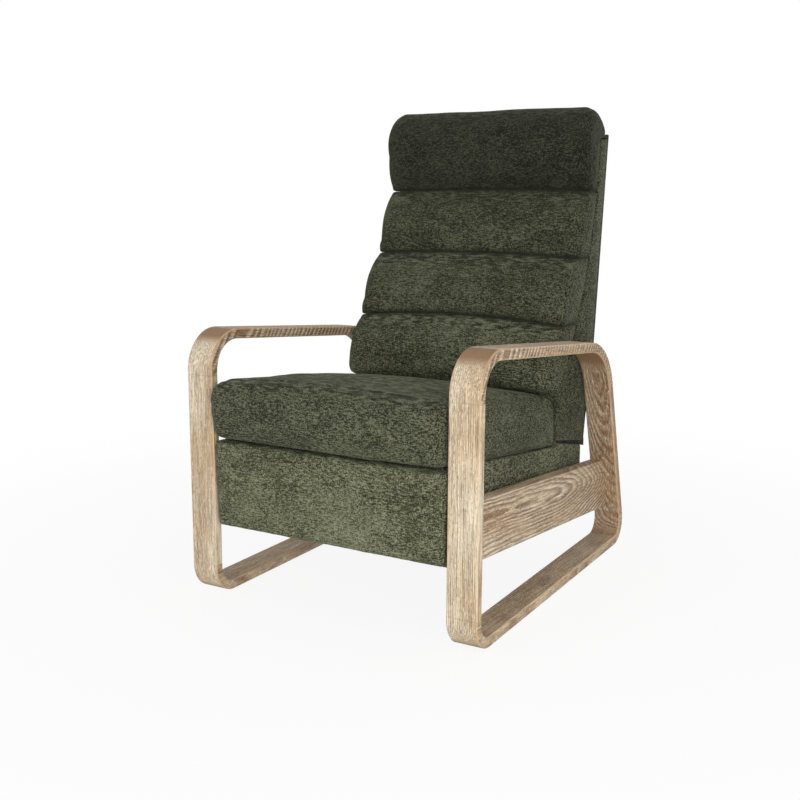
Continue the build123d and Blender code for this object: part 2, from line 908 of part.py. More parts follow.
def back_side_panel():
    """Upholstered wedge that closes the back's side."""
    rear = rear_offset(outer_panel_thickness)
    points = list(back_seam_line) + rear[::-1]
    return side_prism(points, seat_half_width - back_side_thickness, seat_half_width)


def outer_back_panel():
    points = rear_offset(outer_panel_thickness) + list(back_rear_line)[::-1]
    return side_prism(points, -seat_half_width, seat_half_width)


def arc_through(first, last, bulge_share, forward=True):
    """Arc between two points that bulges by a share of its chord."""
    chord = Vector(*last) - Vector(*first)
    normal = Vector(-chord.Y, chord.X) * bulge_share
    if (normal.X > 0) == forward:
        normal = normal * -1
    middle = (Vector(*first) + Vector(*last)) / 2 + normal
    return ThreePointArc(first, (middle.X, middle.Y), last)


def seam_run(low, high):
    """Points of the seam line between two heights, from the top down."""
    inner = [p for p in back_seam_line if low < p[1] < high]
    return [(line_at(back_seam_line, high), high)] + inner[::-1] + [(line_at(back_seam_line, low), low)]


def channel_section(x, top_root, front, foot, inset):
    """One roll of the back, from its upper seam down to its lower seam."""
    low = foot[1] + channel_gap / 2
    high = top_root[1] - channel_gap / 2
    start = (top_root[0] + inset * draw_in_share, high)
    nose = (front[0] + inset, front[1] + inset * draw_in_share)
    end = (foot[0] + inset * draw_in_share, low)
    back = seam_run(low, high)
    edges = [arc_through(start, nose, channel_bulge_share), arc_through(nose, end, channel_tuck_share)]
    edges += [Line(end, back[-1])]
    edges += [Line(a, b) for a, b in zip(back[::-1], back[-2::-1])]
    edges += [Line(back[0], start)]
    return Plane.YZ.offset(x) * make_face(Curve() + edges)


def lumbar_section(x, inset):
    """Lowest roll: its foot lies along the cushion's rear."""
    top_root = seam_roots[-1]
    high = top_root[1] - channel_gap / 2
    start = (top_root[0] + inset * draw_in_share, high)
    nose = (channel_fronts[-1][0] + inset, channel_fronts[-1][1])
    foot = back_point(lumbar_foot_shares)
    foot = (foot[0] + inset, foot[1] + inset * draw_in_share)
    heel = back_point(lumbar_heel_shares)
    back = seam_run(heel[1], high)
    edges = [arc_through(start, nose, channel_bulge_share), arc_through(nose, foot, channel_tuck_share)]
    edges += [Line(foot, heel), Line(heel, back[-1])]
    edges += [Line(a, b) for a, b in zip(back[::-1], back[-2::-1])]
    edges += [Line(back[0], start)]
    return Plane.YZ.offset(x) * make_face(Curve() + edges)


def head_section(x, inset):
    """Head roll: it laps over the top of the back."""
    front, crest, rear = [back_point(s) for s in (head_front_shares, head_top_shares, head_rear_shares)]
    root = seam_roots[0]
    low = root[1] + channel_gap / 2
    shell_top = back_seam_line[-1][1] + soft_gap
    start = (root[0] + inset * draw_in_share, low)
    nose = (front[0] + inset, front[1])
    top = (crest[0], crest[1] - inset)
    rear = (rear[0], rear[1] - inset)
    back_foot = (line_at(back_seam_line, low), low)
    edges = [
        arc_through(start, nose, channel_tuck_share / 2),
        arc_through(nose, top, channel_tuck_share),
        arc_through(top, rear, channel_bulge_share, forward=False),
        Line(rear, (rear[0], shell_top)),
        Line((rear[0], shell_top), (back_seam_line[-1][0], shell_top)),
        Line((back_seam_line[-1][0], shell_top), back_foot),
        Line(back_foot, start),
    ]
    return Plane.YZ.offset(x) * make_face(Curve() + edges)


def roll(section):
    """Loft a roll from end to end of the back."""
    stations = soft_stations(channel_end_round, channel_draw_in)
    return loft([section(x, inset) for x, inset, _ in stations], ruled=True)


def middle_roll(index):
    top_root = seam_roots[index]
    foot = seam_roots[index + 1]
    front = channel_fronts[index]
    return roll(lambda x, inset: channel_section(x, top_root, front, foot, inset))


# Hinge of the back
def seat_hinge_plate():
    """Plate on the side board with the pin that the back turns on."""
    place = Vector(hinge_back, hinge_up)
    reach = place + Vector(-hinge_plate_reach, -hinge_plate_radius * 2)
    inner = board_inner - hinge_plate_thickness
    solid = side_solid(strap_face(place, reach, hinge_plate_radius), inner, board_inner)
    low, _ = upright_span()
    return solid + stud(place, inner, low, hinge_pin_radius, hinge_head_lip, hinge_head_thickness)


def back_hinge_plate():
    _, high = upright_span()
    place = Vector(hinge_back, hinge_up)
    _, front = upright_outline()
    rear = rear_offset(outer_panel_thickness)
    z = hinge_up + hinge_plate_reach
    reach = Vector((line_at(rear, z) + line_at(front, z)) / 2, z)
    face = strap_face(place, reach, hinge_plate_radius)
    face -= holes([place], hinge_pin_radius + fit_gap)
    return side_solid(face, high, high + hinge_plate_thickness)


# Footrest
def footrest_pad():
    rear = -footrest_face + footrest_thickness
    low = (-seat_half_width, -footrest_face, footrest_bottom)
    body = block(low, (seat_half_width, rear, footrest_top))
    front_edges = body.faces().sort_by(Axis.Y)[0].edges()
    body = fillet(front_edges, footrest_round)
    return body - footrest_board(glue_gap)


def footrest_board(clearance=0):
    rear = -footrest_face + footrest_thickness
    border = footrest_board_border - clearance
    low = (-seat_half_width + border, rear - footrest_board_thickness - clearance, footrest_bottom + border)
    high = (seat_half_width - border, rear, footrest_top - border)
    return block(low, high)


def footrest_bracket():
    p = link_points()
    rear = -footrest_face + footrest_thickness
    half = link_half_width
    low = p["tie_head"].Y - half
    high = p["head"].Y + half
    strip = Pos(rear + plate_thickness / 2, (low + high) / 2) * Rectangle(plate_thickness, high - low)
    discs = Sketch() + [Pos(*p[name]) * Circle(half) for name in ("head", "tie_head")]
    solid = plate(make_hull(discs.edges() + strip.edges()), "bracket")
    inner = inner_face("bracket")
    solid += block((inner, rear, low), (inner + bracket_flange, rear + plate_thickness, high))
    solid += stud(p["head"], inner, inner_face("lift"))
    return solid + stud(p["tie_head"], layer_face["bracket"], layer_face["tie"])


def build():
    os.makedirs("parts", exist_ok=True)
    for name, segment in loop_segments().items():
        export_pair(segment, name)
    export_pair(side_rail(), "side_rail")
    export(both_sides(loop_tenons() + rail_tenons()), "loose_tenons")
    export(both_sides(glides()), "glides")
    front_ends, rear_ends = cross_rail_ends()
    export(cross_rail(front_ends), "front_cross_rail")
    export(cross_rail(rear_ends), "rear_cross_rail")
    angles = [corner_angle(front_ends, False), corner_angle(rear_ends, True)]
    export(both_sides(angles), "corner_angles")
    export_pair(base_plate(), "base_plate")

    export_pair(side_board(), "seat_side_board")
    export(front_rail(), "seat_front_rail")
    export(rear_rail(), "seat_rear_rail")
    export(front_deck(), "seat_front_deck")
    export(straps(), "seat_straps")
    export(seat_cushion(), "seat_cushion")
    export_pair(seat_plate(), "seat_plate")
    export_pair(guide_plate(), "guide_plate")
    export(both_sides([seat_hinge_plate()]), "seat_hinge_plates")

    export_pair(crank_link(), "crank_link")
    export_pair(lift_link(), "lift_link")
    export(torsion_tube(), "torsion_tube")
    export_pair(tie_link(), "tie_link")
    export_pair(footrest_bracket(), "footrest_bracket")
    export(footrest_board(), "footrest_board")
    export(footrest_pad(), "footrest_pad")

    export_pair(upright(), "back_upright")
    for name, share in zip(("lower", "middle", "upper"), back_rail_shares):
        export(back_rail(back_level(share)), f"back_{name}_rail")
    export(back_core(), "back_core")
    export_pair(back_side_panel(), "back_side_panel")
    export(outer_back_panel(), "outer_back_panel")
    export(roll(head_section), "head_roll")
    export(middle_roll(0), "upper_channel")
    export(middle_roll(1), "middle_channel")
    export(roll(lumbar_section), "lumbar_channel")
    export(both_sides([back_hinge_plate()]), "back_hinge_plates")


build()
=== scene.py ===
import math

import bmesh
import bpy
from mathutils import Euler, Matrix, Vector, noise
from mathutils.bvhtree import BVHTree


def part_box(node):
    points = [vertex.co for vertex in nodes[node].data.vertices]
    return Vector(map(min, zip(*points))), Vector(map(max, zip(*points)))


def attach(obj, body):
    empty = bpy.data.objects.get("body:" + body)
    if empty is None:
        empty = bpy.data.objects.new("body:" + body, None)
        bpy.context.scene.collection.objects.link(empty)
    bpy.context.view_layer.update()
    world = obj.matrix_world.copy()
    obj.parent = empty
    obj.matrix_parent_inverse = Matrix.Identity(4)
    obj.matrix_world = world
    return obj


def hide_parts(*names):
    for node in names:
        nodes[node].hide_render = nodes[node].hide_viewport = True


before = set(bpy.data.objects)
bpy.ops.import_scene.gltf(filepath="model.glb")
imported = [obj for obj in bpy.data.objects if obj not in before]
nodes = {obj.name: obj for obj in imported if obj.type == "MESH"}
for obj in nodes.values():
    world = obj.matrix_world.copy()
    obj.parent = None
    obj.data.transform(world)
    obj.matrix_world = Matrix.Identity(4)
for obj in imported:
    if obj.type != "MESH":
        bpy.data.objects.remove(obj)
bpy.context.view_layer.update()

# Push-back recliner with looped oak arms and olive chenille upholstery.
# +X is the sitter's left, -Y is forward, metres throughout.

scene = bpy.context.scene
mergeReach = 0.00005  # corners of a solid's mesh that lie closer are merged


# small helpers

def screenColour(red, green, blue):
    # colours are written as seen on a screen, 0 to 255
    return tuple(((part / 255 + 0.055) / 1.055) ** 2.4 for part in (red, green, blue))


def scaled(colour, share):
    return tuple(part * share for part in colour)


def ramped(value, start, over):
    # 0 at start and before it, 1 once past it by over
    return min(max((value - start) / over, 0.0), 1.0)


def addNode(tree, kind, **values):
    node = tree.nodes.new(kind)
    for name, value in values.items():
        if name in node.inputs:
            node.inputs[name].default_value = value
        else:
            setattr(node, name, value)
    return node


def link(tree, source, outName, target, inName):
    tree.links.new(source.outputs[outName], target.inputs[inName])


def startMaterial(name):
    material = bpy.data.materials.new(name)
    material.use_nodes = True
    tree = material.node_tree
    shader = tree.nodes["Principled BSDF"]
    coords = addNode(tree, "ShaderNodeTexCoord")
    return material, tree, shader, coords


def rampOf(tree, fac, stops):
    ramp = addNode(tree, "ShaderNodeValToRGB")
    marks = ramp.color_ramp.elements
    while len(marks) < len(stops):
        marks.new(0.5)
    for mark, (place, colour) in zip(marks, stops):
        mark.position = place
        mark.color = (*colour, 1) if isinstance(colour, tuple) else (colour, colour, colour, 1)
    tree.links.new(fac, ramp.inputs["Fac"])
    return ramp.outputs["Color"]


def mapped(tree, coords, scale=(1, 1, 1), turn=(0, 0, 0), shift=(0, 0, 0)):
    mapping = addNode(tree, "ShaderNodeMapping", Scale=scale, Rotation=turn, Location=shift)
    tree.links.new(coords, mapping.inputs["Vector"])
    return mapping.outputs["Vector"]


def noiseOf(tree, vector, scale, detail=2.0, rough=0.55, distortion=0.0):
    texture = addNode(
        tree, "ShaderNodeTexNoise", Scale=scale, Detail=detail, Roughness=rough, Distortion=distortion,
    )
    tree.links.new(vector, texture.inputs["Vector"])
    return texture.outputs["Fac"]


def patternOf(tree, vector, scale, shift=(0, 0, 0), detail=2.0, rough=0.55, distortion=0.0):
    # noise with a scale of its own along each axis
    return noiseOf(tree, mapped(tree, vector, scale=scale, shift=shift), 1.0, detail, rough, distortion)


def mathOf(tree, operation, first, second=None):
    node = addNode(tree, "ShaderNodeMath", operation=operation)
    for socket, value in zip(node.inputs, (first, second)):
        if value is None:
            continue
        if isinstance(value, (int, float)):
            socket.default_value = value
        else:
            tree.links.new(value, socket)
    return node.outputs[0]


def times(tree, first, second):
    return mathOf(tree, "MULTIPLY", first, second)


def plus(tree, first, second):
    return mathOf(tree, "ADD", first, second)


def less(tree, first, second):
    return mathOf(tree, "SUBTRACT", first, second)


def dotOf(tree, vector, way):
    node = addNode(tree, "ShaderNodeVectorMath", operation="DOT_PRODUCT")
    tree.links.new(vector, node.inputs[0])
    node.inputs[1].default_value = way
    return node.outputs["Value"]


def lengthOf(tree, vector):
    node = addNode(tree, "ShaderNodeVectorMath", operation="LENGTH")
    tree.links.new(vector, node.inputs[0])
    return node.outputs["Value"]


def mixColour(tree, share, first, second, blend="MIX"):
    node = addNode(tree, "ShaderNodeMix", data_type="RGBA", blend_type=blend)
    for socket, value in ((node.inputs[0], share), (node.inputs[6], first), (node.inputs[7], second)):
        if isinstance(value, (int, float)):
            socket.default_value = value
        elif isinstance(value, tuple):
            socket.default_value = (*value, 1)
        else:
            tree.links.new(value, socket)
    return node.outputs[2]


def bumpOf(tree, shader, height, strength, distance):
    bump = addNode(tree, "ShaderNodeBump", Strength=strength, Distance=distance)
    tree.links.new(height, bump.inputs["Height"])
    link(tree, bump, "Normal", shader, "Normal")


def dressNode(name, material):
    obj = nodes[name]
    if not obj.material_slots:
        obj.data.materials.append(material)
    for slot in obj.material_slots:
        slot.material = material


def meshObject(name, bm, material=None, smooth=True):
    mesh = bpy.data.meshes.new(name)
    bm.to_mesh(mesh)
    bm.free()
    obj = bpy.data.objects.new(name, mesh)
    scene.collection.objects.link(obj)
    for face in mesh.polygons:
        face.use_smooth = smooth
    if material:
        mesh.materials.append(material)
    return obj


def mergedCopy(nodeName):
    bm = bmesh.new()
    bm.from_mesh(nodes[nodeName].data)
    bmesh.ops.remove_doubles(bm, verts=bm.verts, dist=mergeReach)
    return bm


def roundEdges(bm, radius, segments):
    bmesh.ops.bevel(
        bm, geom=bm.edges, offset=radius, offset_type="OFFSET", segments=segments, profile=0.5,
        affect="EDGES", material=-1, clamp_overlap=True,
    )


def bakeModifiers(obj):
    depsgraph = bpy.context.evaluated_depsgraph_get()
    baked = bpy.data.meshes.new_from_object(obj.evaluated_get(depsgraph))
    old = obj.data
    obj.modifiers.clear()
    obj.data = baked
    bpy.data.meshes.remove(old)


def centreOf(nodeName):
    low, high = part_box(nodeName)
    return (Vector(low) + Vector(high)) / 2


# oak, wire-brushed and washed with a pale filler

oakLook = {
    "cream": screenColour(224, 210, 184),
    "tan": screenColour(192, 168, 134),
    "brown": screenColour(138, 106, 74),
    "dark": screenColour(98, 72, 48),
    "amber": screenColour(186, 148, 104),
    "filler": screenColour(236, 227, 207),
    # painted highlight for the chamfers
    "chamferHighlight": screenColour(222, 190, 152),
    "roughness": 0.62,
    "poreRoughness": 0.14,
    # year rings: how dark the wood is across one, and what bends them
    "ringTones": [(0.0, 0.55), (0.10, 1.0), (0.40, 0.80), (0.66, 0.30), (0.88, 0.0), (1.0, 0.55)],
    "waver": {"scale": (3.2, 14, 14), "rough": 0.5},
    "ripple": {"scale": (24, 75, 75), "rough": 0.6},
    # slow changes of colour along a board
    "patches": {"scale": (4.5, 17, 17), "shift": (3, 1, 2), "detail": 3.0, "rough": 0.6},
    "patchStops": [(0.38, 0.0), (0.62, 1.0)],
    "fading": {"scale": (5, 15, 15), "shift": (4, 4, 9), "rough": 0.5},
    "fadingFrom": 0.40, "fadingTo": 0.60,
    "amberNoise": {"scale": (7, 30, 30), "shift": (5, 2, 7), "rough": 0.5},
    "amberStops": [(0.50, 0.0), (0.66, 1.0)],
    "shadeNoise": {"scale": (11, 26, 26), "shift": (1, 8, 4), "detail": 3.0, "rough": 0.6},
    "shadeStops": [(0.54, 0.0), (0.72, 1.0)],
    # fibres, pale filled pores and dark open ones
    "fibres": {"scale": (14, 330, 330), "detail": 3.0, "rough": 0.7},
    "streakStops": [(0.36, 0.55), (0.64, 1.36)],
    "streakShare": 0.9,
    "pores": {"scale": (70, 520, 520), "shift": (2, 0, 5), "rough": 0.65},
    "poreStops": [(0.55, 0.0), (0.64, 1.0)],
    "fillInRings": 0.55, "fillBetween": 0.25,
    "specks": {"scale": (110, 620, 620), "shift": (9, 3, 1), "rough": 0.6},
    "speckStops": [(0.57, 0.0), (0.65, 1.0)],
    "speckShare": 0.58,
    "poreDepth": 0.8, "bump": 0.5, "bumpDepth": 0.0008,
    # by the way a face looks: the loops' edges, their chamfers, and faces turned along the grain
    "edgeStops": [(0.45, 0.0), (0.75, 1.0)],
    "chamferStops": [(0.50, 0.0), (0.62, 0.42), (0.80, 0.42), (0.92, 0.0)],
    "turnedStops": [(0.36, 0.0), (0.66, 1.0)],
    "rearStops": [(0.49, 0.0), (0.51, 1.0)],  # 0.5 is the middle of a loop
    "stainFrom": (0.01, 0.05), "stainTo": (0.36, 0.60),
    "jointWidth": 0.0025,
    "jointFrom": 0.25, "jointTo": 0.75,
    # where in the tree each board was cut
    "leftSeed": 0.13, "rightSeed": 1.71, "nameSeed": 0.37, "edgeSeed": 0.4,
}

armRun = (0, math.cos(math.radians(5.7)), -math.sin(math.radians(5.7)))
rearRun = (0, -math.sin(math.radians(16.56)), math.cos(math.radians(16.56)))
edgeSlant = math.radians(55)
edgeHeart = 0.25

# run: the way the grain goes; heart: where the tree's middle lies, seen from the piece's middle
# gap: from ring to ring; contrast, fade: how strong the rings are, and how faint in places
# pale, amber, shade: how much of each tone the wood has; deep: how much darker brown the piece is drawn,
# partly its own tone and partly painted shade, most on the rear posts
sideRail = {
    "run": armRun, "gap": 0.0078, "waver": 0.030, "ripple": 0.0040, "bow": 0.50, "bowFrom": 0.03,
    "contrast": 1.9, "fade": 0.45, "pale": 1.0, "amber": 0.35, "shade": 0.45, "deepToneAndShade": 0.0,
}
oakPieces = {
    "front_post": {
        "run": (0, 0.0148, 1), "heart": (0.01, 0.25), "tilt": (0.0, 0.0),
        "gap": 0.0042, "waver": 0.012, "ripple": 0.0012,
        "contrast": 0.60, "fade": 0.25, "pale": 0.90, "amber": 0.14, "shade": 0.28, "deepToneAndShade": 0.0,
        "joints": 0.35,
    },
    "arm": {
        "run": armRun, "heart": (0.24, 0.03), "tilt": (0.0, 0.03),
        "gap": 0.0050, "waver": 0.016, "ripple": 0.0020,
        "contrast": 1.4, "fade": 0.45, "pale": 0.80, "amber": 0.30, "shade": 0.6, "deepToneAndShade": 0.10,
        "bends": ("front_post", "rear_post"), "stain": 0.95,
        "edge": {
            "run": (0, math.cos(edgeSlant), math.sin(edgeSlant)),
            "heart": (edgeHeart * math.sin(edgeSlant), -edgeHeart * math.cos(edgeSlant)),
            "tilt": (0.0, 0.0), "gap": 0.0135, "waver": 0.026, "ripple": 0.0050, "push": 0.8,
        },
    },
    "rear_post": {
        "run": rearRun, "heart": (-0.045, 0.004), "tilt": (0.0, 0.18),
        "gap": 0.0062, "waver": 0.022, "ripple": 0.0034,
        "contrast": 2.0, "fade": 0.45, "pale": 0.55, "amber": 0.45, "shade": 0.9, "deepToneAndShade": 0.38,
        "joints": 0.3,
    },
    "floor_rail": {
        "run": (0, 1, 0), "heart": (0.22, 0.02), "tilt": (0.0, 0.05),
        "gap": 0.0055, "waver": 0.020, "ripple": 0.0024,
        "contrast": 1.0, "fade": 0.25, "pale": 0.50, "amber": 0.45, "shade": 0.7, "deepToneAndShade": 0.10,
        "bends": ("front_post", "rear_post"), "stain": 0.5,
    },
    "side_rail_left": {**sideRail, "heart": (-0.006, -0.022), "tilt": (0.0, -0.03)},
    "side_rail_right": {**sideRail, "heart": (0.006, -0.022), "tilt": (0.0, 0.03)},
}


def oakRings(tree, place, anchor, choice, seed):
    look = oakLook
    align = Vector(choice["run"]).normalized().rotation_difference(Vector((1, 0, 0))).to_matrix()
    turn = Euler((0, *choice["tilt"])).to_matrix() @ align
    shift = Vector((seed, *choice["heart"])) - turn @ anchor
    grain = mapped(tree, place, turn=tuple(turn.to_euler()), shift=tuple(shift))
    parts = addNode(tree, "ShaderNodeSeparateXYZ")
    tree.links.new(grain, parts.inputs[0])
    flat = addNode(tree, "ShaderNodeCombineXYZ")
    link(tree, parts, "Y", flat, "Y")
    link(tree, parts, "Z", flat, "Z")
    radius = lengthOf(tree, flat.outputs["Vector"])
    for bender in ("waver", "ripple"):
        radius = plus(tree, radius, times(tree, patternOf(tree, grain, **look[bender]), choice[bender]))
    if "bow" in choice:
        # the tree's own bend closes the rings into pointed arches
        past = mathOf(tree, "MAXIMUM", less(tree, parts.outputs["X"], seed + choice["bowFrom"]), 0.0)
        radius = plus(tree, radius, times(tree, times(tree, past, past), choice["bow"]))
    ring = mathOf(tree, "FRACT", mathOf(tree, "DIVIDE", radius, choice["gap"]))
    return grain, rampOf(tree, ring, look["ringTones"])


def oakTone(tree, coords, nodeName, choice):
    look = oakLook
    place = coords.outputs["Object"]
    anchor = centreOf(nodeName)
    side = look["leftSeed"] if nodeName.endswith("left") else look["rightSeed"]
    seed = side + look["nameSeed"] * len(nodeName)
    grain, bands = oakRings(tree, place, anchor, choice, seed)
    sideways = mathOf(tree, "ABSOLUTE", dotOf(tree, coords.outputs["Normal"], (1, 0, 0)))
    pushed = 1.0
    if "edge" in choice:
        # the sawn edge shows its rings slanting across it
        edgeBands = oakRings(tree, place, anchor, choice["edge"], seed + look["edgeSeed"])[1]
        onEdge = rampOf(tree, sideways, look["edgeStops"])
        bands = mixColour(tree, onEdge, bands, edgeBands)
        pushed = plus(tree, times(tree, onEdge, choice["edge"]["push"]), 1.0)
    # colour wanders slowly along the board
    patchMask = rampOf(tree, patternOf(tree, grain, **look["patches"]), look["patchStops"])
    ground = mixColour(tree, patchMask, look["tan"], look["cream"])
    ground = mixColour(tree, choice["pale"], look["tan"], ground)
    fadeStops = [(look["fadingFrom"], choice["fade"]), (look["fadingTo"], 1.0)]
    fading = rampOf(tree, patternOf(tree, grain, **look["fading"]), fadeStops)
    strength = times(tree, fading, choice["contrast"])
    lines = times(tree, times(tree, less(tree, 1.0, bands), strength), pushed)
    toned = mixColour(tree, lines, ground, look["brown"])
    amber = rampOf(tree, patternOf(tree, grain, **look["amberNoise"]), look["amberStops"])
    toned = mixColour(tree, times(tree, amber, choice["amber"]), toned, look["amber"])
    shade = rampOf(tree, patternOf(tree, grain, **look["shadeNoise"]), look["shadeStops"])
    toned = mixColour(tree, times(tree, shade, choice["shade"]), toned, look["brown"])
    # partly the wood's deeper tone and partly painted shade, strongest on the rear posts
    toned = mixColour(tree, choice["deepToneAndShade"], toned, look["brown"])
    # streaks and short dashes along the grain
    fibres = patternOf(tree, grain, **look["fibres"])
    streaks = rampOf(tree, fibres, look["streakStops"])
    toned = mixColour(tree, look["streakShare"], toned, streaks, "MULTIPLY")
    openPores = rampOf(tree, patternOf(tree, grain, **look["pores"]), look["poreStops"])
    filling = plus(tree, times(tree, bands, look["fillInRings"]), look["fillBetween"])
    toned = mixColour(tree, times(tree, openPores, filling), toned, look["filler"])
    specks = rampOf(tree, patternOf(tree, grain, **look["specks"]), look["speckStops"])
    toned = mixColour(tree, times(tree, specks, look["speckShare"]), toned, look["dark"])
    relief = less(tree, plus(tree, bands, fibres), times(tree, openPores, look["poreDepth"]))
    return toned, relief, openPores, sideways


def makeOak(name, nodeName, pieceName, choice):
    look = oakLook
    material, tree, shader, coords = startMaterial(name)
    toned, relief, openPores, sideways = oakTone(tree, coords, nodeName, choice)
    place = coords.outputs["Object"]
    run = Vector(choice["run"]).normalized()
    if "bends" in choice:
        # a bend takes the grain of the post that it meets, and is stained where it turns
        across = dotOf(tree, coords.outputs["Normal"], tuple(run))
        across = times(tree, across, across)
        posts = []
        for postName in choice["bends"]:
            metNode = nodeName.replace(pieceName, postName)
            posts.append(oakTone(tree, coords, metNode, oakPieces[postName])[:2])
        fromMiddle = plus(tree, dotOf(tree, place, (0, 1, 0)), 0.5)
        atRear = rampOf(tree, fromMiddle, look["rearStops"])
        postTone, postRelief = (mixColour(tree, atRear, *pair) for pair in zip(*posts))
        turned = rampOf(tree, across, look["turnedStops"])
        toned = mixColour(tree, turned, toned, postTone)
        relief = mixColour(tree, turned, relief, postRelief)
        (clear, full), (fullEnd, clearEnd) = look["stainFrom"], look["stainTo"]
        stainStops = [(clear, 0.0), (full, choice["stain"]), (fullEnd, choice["stain"]), (clearEnd, 0.0)]
        toned = mixColour(tree, rampOf(tree, across, stainStops), toned, look["brown"])
    # painted highlight: the chamfers are drawn warmer and lighter, as where the light catches them
    toned = mixColour(tree, rampOf(tree, sideways, look["chamferStops"]), toned, look["chamferHighlight"])
    if "joints" in choice:
        reach = [vert.co.dot(run) for vert in nodes[nodeName].data.vertices]
        along = dotOf(tree, place, tuple(run))
        jointStops = [(look["jointFrom"], choice["joints"]), (look["jointTo"], 0.0)]
        for end in (min(reach), max(reach)):
            away = mathOf(tree, "ABSOLUTE", less(tree, along, end))
            seam = rampOf(tree, times(tree, away, 1 / look["jointWidth"]), jointStops)
            toned = mixColour(tree, seam, toned, look["dark"])
    tree.links.new(toned, shader.inputs["Base Color"])
    rough = plus(tree, times(tree, openPores, look["poreRoughness"]), look["roughness"])
    tree.links.new(rough, shader.inputs["Roughness"])
    bumpOf(tree, shader, relief, look["bump"], look["bumpDepth"])
    return material


for pieceName in ("front_post", "arm", "rear_post", "floor_rail", "side_rail"):
    for side in ("left", "right"):
        nodeName = f"{pieceName}_{side}"
        choice = oakPieces.get(nodeName) or oakPieces[pieceName]
        dressNode(nodeName, makeOak(f"washedOak_{nodeName}", nodeName, pieceName, choice))
print("oak loops and side rails dressed")


# plain wood, steel and plastic

plainWoodLook = {
    "stretch": (6, 90, 90), "detail": 4.0, "rough": 0.6, "distortion": 0.4,
    "stops": [(0.3, screenColour(172, 146, 114)), (0.7, screenColour(206, 184, 150))],
    "roughness": 0.7, "bump": 0.2, "bumpDepth": 0.0004,
}
steelLook = {"colour": (0.022, 0.022, 0.024), "roughness": 0.42, "wear": 0.05}
plasticLook = {"colour": (0.018, 0.018, 0.018), "roughness": 0.55, "wear": 0.02}
hardLook = {
    "grime": 60.0, "detail": 4.0, "rough": 0.6, "shaded": 0.8, "marks": (0.35, 0.68, 0.80),
    "roughnessSpread": 0.2, "grit": 900.0, "bump": 0.08, "bumpDepth": 0.0002,
}


def makePlainWood():
    look = plainWoodLook
    material, tree, shader, coords = startMaterial("plainHardwood")
    lines = patternOf(
        tree, coords.outputs["Object"], look["stretch"],
        detail=look["detail"], rough=look["rough"], distortion=look["distortion"],
    )
    tree.links.new(rampOf(tree, lines, look["stops"]), shader.inputs["Base Color"])
    shader.inputs["Roughness"].default_value = look["roughness"]
    bumpOf(tree, shader, lines, look["bump"], look["bumpDepth"])
    return material


def makeHard(name, choice):
    look = hardLook
    material, tree, shader, coords = startMaterial(name)
    place = coords.outputs["Object"]
    grime = noiseOf(tree, place, look["grime"], look["detail"], look["rough"])
    colour = choice["colour"]
    worn = tuple(min(part + choice["wear"], 1.0) for part in colour)
    tones = (scaled(colour, look["shaded"]), colour, worn)
    tree.links.new(rampOf(tree, grime, list(zip(look["marks"], tones))), shader.inputs["Base Color"])
    spread = look["roughnessSpread"]
    rough = plus(tree, times(tree, grime, spread), choice["roughness"] - spread / 2)
    tree.links.new(rough, shader.inputs["Roughness"])
    bumpOf(tree, shader, noiseOf(tree, place, look["grit"]), look["bump"], look["bumpDepth"])
    return material


plainWood = makePlainWood()
blackSteel = makeHard("blackPaintedSteel", steelLook)
blackPlastic = makeHard("blackPlastic", plasticLook)

for name in ("front_cross_rail", "rear_cross_rail", "loose_tenons", "seat_front_rail", "seat_rear_rail",
             "seat_front_deck", "back_lower_rail", "back_middle_rail", "back_upper_rail", "footrest_board",
             "back_upright_left", "back_upright_right"):
    dressNode(name, plainWood)
for name in ("base_plate", "seat_plate", "guide_plate", "crank_link", "lift_link", "tie_link",
             "footrest_bracket"):
    for side in ("left", "right"):
        dressNode(f"{name}_{side}", blackSteel)
for name in ("corner_angles", "torsion_tube", "seat_hinge_plates", "back_hinge_plates"):
    dressNode(name, blackSteel)
dressNode("glides", blackPlastic)
print("mechanism dressed")


# chenille: fine tufted specks, short slubs and painted highlight patches

chenilleLook = {
    "dark": (0.014, 0.015, 0.008),
    "mid": (0.056, 0.060, 0.031),
    "light": (0.190, 0.200, 0.125),
    "middle": 0.50, "darkBelow": 0.07, "lightAbove": 0.085,
    "speck": 400.0, "speckDetail": 2.0, "speckRough": 0.8,
    # slubs lie along the cloth: across the fronts, along the sides, and laid over on the tops
    "slubs": {"scale": (110, 400, 360), "rough": 0.65},
    "sideSlubs": {"scale": (400, 150, 380), "rough": 0.65},
    "sideSlubStops": [(0.25, 0.0), (0.75, 1.0)],
    "topSlubs": {"scale": (42, 60, 240), "detail": 3.0, "rough": 0.7},
    "topSlubStops": [(0.22, 0.0), (0.78, 1.0)],
    "sideStops": [(0.55, 0.0), (0.80, 1.0)],
    "topStops": [(0.60, 0.0), (0.85, 1.0)],
    "uprights": {"scale": (420, 300, 120), "rough": 0.6},
    "speckShare": 0.46, "slubShare": 0.38, "uprightShare": 0.16,
    # crushed spots, and a slow change over the whole piece
    "crushed": {"scale": (16, 22, 30), "detail": 3.0, "rough": 0.62, "distortion": 0.5},
    "crushedShare": 0.12,
    "wide": {"scale": (4, 5, 6), "shift": (1, 2, 3), "rough": 0.5},
    "wideShare": 0.09,
    # a painted highlight patch
    "paintedHighlightStops": [(0.0, 1.0), (0.5, 0.55), (1.0, 0.0)],
    # painted shade along the seams
    "seamShadeDepth": 0.72, "seamShadeTone": 0.25,
    "roughness": 0.95, "specular": 0.2,
    "sheen": 0.10, "sheenRoughness": 0.5, "sheenTint": (0.55, 0.62, 0.42, 1),
    "bump": 0.6, "bumpDepth": 0.0016,
}


